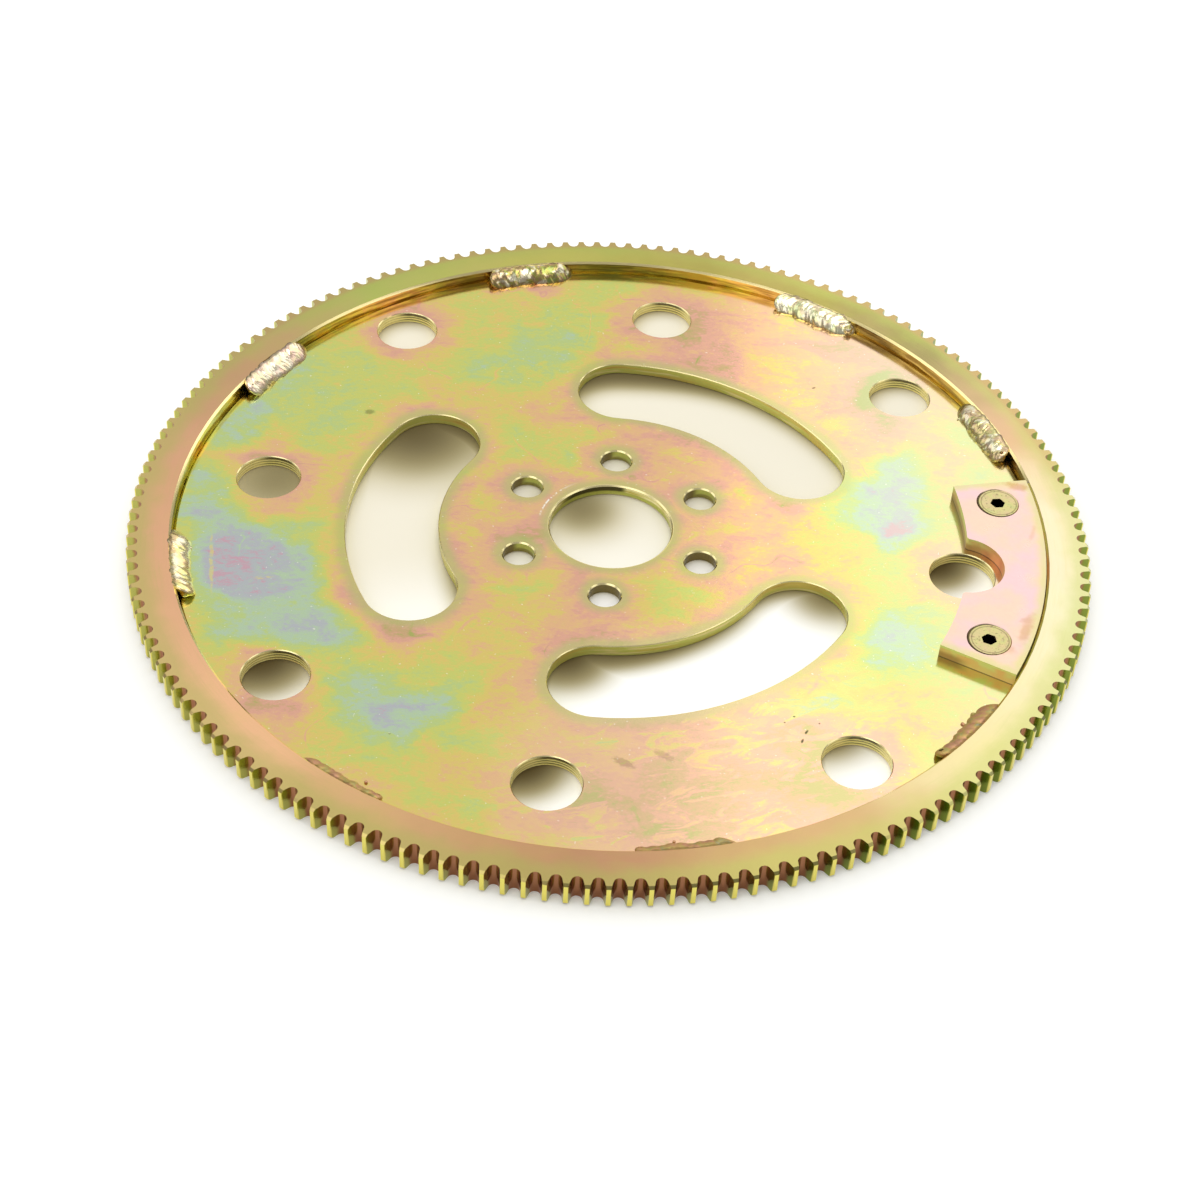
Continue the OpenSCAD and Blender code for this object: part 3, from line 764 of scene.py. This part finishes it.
def floorWhiteWithPaintedShade():
    surface = Surface("floor_white")
    far, close = ground["reach"]
    shaded = surface.moved(-2, far - ease(surface.x, -20, 50) * (far - close))
    under = 1 - ease(surface.radius, *ground["underR"])
    # painted shade: a cream tint on the floor under the far side of the plate
    farSide = ease(surface.y * 0.9 - surface.x * 0.4, -60, 10) * under
    colour = blendColour(farSide * 0.8, ground["white"], ground["cream"])
    largeHoles = [place for turn, place in converterPlaces()]
    opening = nearestHole(surface.moved(-4, 5), largeHoles, windowDistance(shaded))
    opening = nearestHole(surface.moved(-1, 1), crankPlaces(), opening)
    opening = nearestHole(surface, [borePlace], opening)
    low, high, amount = ground["shade"]
    shade = ease(opening, low, high) * amount
    for x, y, reach, strength in ground["pools"]:
        shade = most(shade, (1 - ease(surface.away(surface.flat, x, y), 0, reach)) * strength)
    # painted shade, olive and then dark, where the openings' edges and the pools fall
    colour = blendColour(ease(shade, 0.0, 0.7) * under, colour, ground["olive"])
    colour = blendColour(ease(shade, 0.3, 1.0) * under, colour, ground["dark"])
    surface.tree.links.new(colour.socket, surface.shader.inputs["Emission Color"])
    surface.shader.inputs["Emission Strength"].default_value = ground["glow"]
    return surface.finish(colour, 0.9, None, metallic=0.0)


finishes = {
    "disc_plating": discPlating(),
    "gear_plating": gearPlating(),
    "weight_plating": weightPlating(),
    "screw_plating": screwPlating(),
    "weld_plating": weldPlating(),
}
edgeBreak = {
    "pieces": ("flex_disc", "ring_gear", "counterweight"),
    "width": 0.22,
    "segments": 2,
    "angle": 35,
}
for subpart in frame["record"]["subparts"]:
    piece = nodes[subpart["node"]]
    piece.data.materials.clear()
    piece.data.materials.append(finishes[subpart["material_slot"]])
for name in edgeBreak["pieces"]:
    edge = nodes[name].modifiers.new("edge break", "BEVEL")
    edge.width = edgeBreak["width"] * mm
    edge.segments = edgeBreak["segments"]
    edge.limit_method = "ANGLE"
    edge.angle_limit = math.radians(edgeBreak["angle"])
print("finishes set on", len(nodes), "nodes")


def ball(place, turn, half, segments=24):  # one lump of weld metal
    bpy.ops.mesh.primitive_uv_sphere_add(segments=segments, ring_count=segments // 2, radius=1,
                                         location=place * mm, rotation=turn, scale=Vector(half) * mm)
    return bpy.context.object


def chosen(piece):  # selects one piece alone
    bpy.ops.object.select_all(action="DESELECT")
    piece.select_set(True)
    bpy.context.view_layer.objects.active = piece


def applied(piece, kind, settings):  # a modifier set and applied
    chosen(piece)
    modifier = piece.modifiers.new(kind.lower(), kind)
    for key, value in settings.items():
        setattr(modifier, key, value)
    bpy.ops.object.modifier_apply(modifier=modifier.name)


def trimmed(piece, place, normal, inner):  # cuts one side of a plane off
    chosen(piece)
    bpy.ops.object.mode_set(mode="EDIT")
    bpy.ops.mesh.select_all(action="SELECT")
    bpy.ops.mesh.bisect(plane_co=place, plane_no=normal, use_fill=True, clear_inner=inner,
                        clear_outer=not inner)
    bpy.ops.object.mode_set(mode="OBJECT")


clouds = bpy.data.textures.new("weld clouds", "CLOUDS")
clouds.noise_scale = puddle["cloudSize"] * mm
clouds.noise_depth = 0


def weldLumps(bead):  # ripples, spatter and the end's knob as loose balls
    chance = random.Random(bead["seed"])
    lumps = []
    count = round(puddle["run"] / puddle["spacing"]) + 1
    for step in range(count):
        shift = (step - (count - 1) / 2) * puddle["run"] / (count - 1) + chance.uniform(-0.35, 0.35)
        radial, along, seam, out = beadAxes(alongSeam(bead, shift))
        axes = Matrix((along, seam, out)).transposed()
        lean = math.radians(bead["lean"] * puddle["lean"] + chance.uniform(-6, 6))
        turn = (axes @ Matrix.Rotation(lean, 3, "X")).to_euler()
        size = bead["size"] * chance.uniform(0.95, 1.05)
        half = [value * size for value in puddle["half"]]
        reach = puddle["midR"] - bead["in"] + chance.uniform(-0.25, 0.25)
        lumps.append(ball(radial * reach + Vector((0, 0, puddle["midZ"])), turn, half))
    for drop in range(bead["drops"]):
        shift = chance.uniform(-puddle["dropRun"], puddle["dropRun"])
        radial = beadAxes(alongSeam(bead, shift))[0]
        size = chance.uniform(*puddle["dropSize"])
        place = radial * chance.uniform(*puddle["dropR"]) + Vector((0, 0, plate["discTop"] + size * 0.4))
        lumps.append(ball(place, (0, 0, 0), (size, size, size), 12))
    if bead["knob"]:
        place = pitPlace(bead) - Vector((0, 0, puddle["knobSunk"]))
        lumps.append(ball(place, (0, 0, 0), [bead["knob"]] * 3, 16))
    return lumps


def weldBead(name, bead):
    lumps = weldLumps(bead)
    bpy.ops.object.select_all(action="DESELECT")
    for lump in lumps:
        lump.select_set(True)
    bpy.context.view_layer.objects.active = lumps[0]
    bpy.ops.object.join()
    piece = bpy.context.object
    bpy.ops.object.transform_apply(location=True, rotation=True, scale=True)
    applied(piece, "REMESH", {"mode": "VOXEL", "voxel_size": puddle["voxel"] * mm})
    applied(piece, "DISPLACE", {"texture": clouds, "texture_coords": "LOCAL", "mid_level": 0.5,
                                "strength": puddle["rough"] * mm})
    applied(piece, "SMOOTH", {"factor": 0.5, "iterations": puddle["smoothing"]})
    hole = ball(pitPlace(bead), (0, 0, 0), (bead["pitR"], bead["pitR"], bead["pitR"] * 1.3), 16)
    bpy.ops.object.transform_apply(location=True, rotation=True, scale=True)
    applied(piece, "BOOLEAN", {"operation": "DIFFERENCE", "object": hole, "solver": "EXACT"})
    bpy.data.objects.remove(hole)
    radial = beadAxes(bead["angle"])[0]
    trimmed(piece, Vector((0, 0, plate["discTop"] - puddle["sunkUnder"])) * mm, (0, 0, 1), True)
    trimmed(piece, radial * (plate["ringBoreR"] + puddle["sunkBehind"]) * mm, radial, False)
    bpy.ops.object.shade_smooth()
    piece.name = name + "_rippled"
    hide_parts(name)
    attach(piece, "root")
    piece.data.materials.clear()
    piece.data.materials.append(finishes["weld_plating"])
    return len(piece.data.polygons)


print("weld faces", [weldBead(name, bead) for name, bead in beads.items()])

studio = {
    "floorSize": 12.0,
    "eye": (0.07934, -0.64451, 0.58038),  # metres, in the plate's own frame
    "heading": 7.23,
    "lookDown": 43.43,
    "roll": 3.294,
    "lens": 68.63,
    "sensor": 36.0,
    "clipStart": 0.01,
    "sky": 0.32,
}
bpy.ops.object.select_all(action="DESELECT")
bpy.ops.mesh.primitive_plane_add(size=studio["floorSize"], location=(0, 0, 0))
floor = bpy.context.object
floor.name = "floor"
floor.data.materials.append(floorWhiteWithPaintedShade())

bpy.ops.object.camera_add(location=studio["eye"])
camera = bpy.context.object
turn = Matrix.Rotation(math.radians(studio["heading"]), 4, "Z")
tilt = Matrix.Rotation(math.radians(90 - studio["lookDown"]), 4, "X")
roll = Matrix.Rotation(math.radians(studio["roll"]), 4, "Z")
camera.rotation_euler = (turn @ tilt @ roll).to_euler()
camera.data.lens = studio["lens"]
camera.data.sensor_width = studio["sensor"]
camera.data.clip_start = studio["clipStart"]
bpy.context.scene.camera = camera

lamps = {  # place, aim, width, height and level: a level of 1 shows as white in a mirror
    "key": ((0.954, 1.758, 2.0), (0, 0, 2.0), 2.4, 3.0, 1.18),
    "back": ((-0.765, 1.848, 2.0), (0, 0, 2.0), 1.456, 3.0, 0.60),
    "top": ((0.0, 0.0, 2.2), (0, 0, 0), 1.6, 1.6, 2.8),
    "left": ((-2.1, 0.3, 1.5), (0, 0, 0), 1.7, 1.7, 1.0),
    "right": ((2.2, -0.3, 1.5), (0, 0, 0), 1.4, 1.4, 0.9),
    "front": ((-1.1, -1.8, 1.6), (0, 0, 0), 2.0, 1.6, 1.2),
}
for name, (place, aim, width, height, level) in lamps.items():
    bpy.ops.object.light_add(type="AREA", location=place)
    lamp = bpy.context.object
    lamp.name = name
    lamp.data.shape = "RECTANGLE"
    lamp.data.size = width
    lamp.data.size_y = height
    lamp.data.energy = level * math.pi * width * height
    lamp.rotation_euler = (Vector(aim) - Vector(place)).to_track_quat("-Z", "Y").to_euler()
    lamp.visible_camera = False

world = bpy.data.worlds.new("studio")
bpy.context.scene.world = world
world.use_nodes = True
backdrop = world.node_tree.nodes["Background"]
backdrop.inputs["Color"].default_value = (1, 1, 1, 1)
backdrop.inputs["Strength"].default_value = studio["sky"]
bpy.context.scene.view_settings.view_transform = "Standard"
print("studio set")
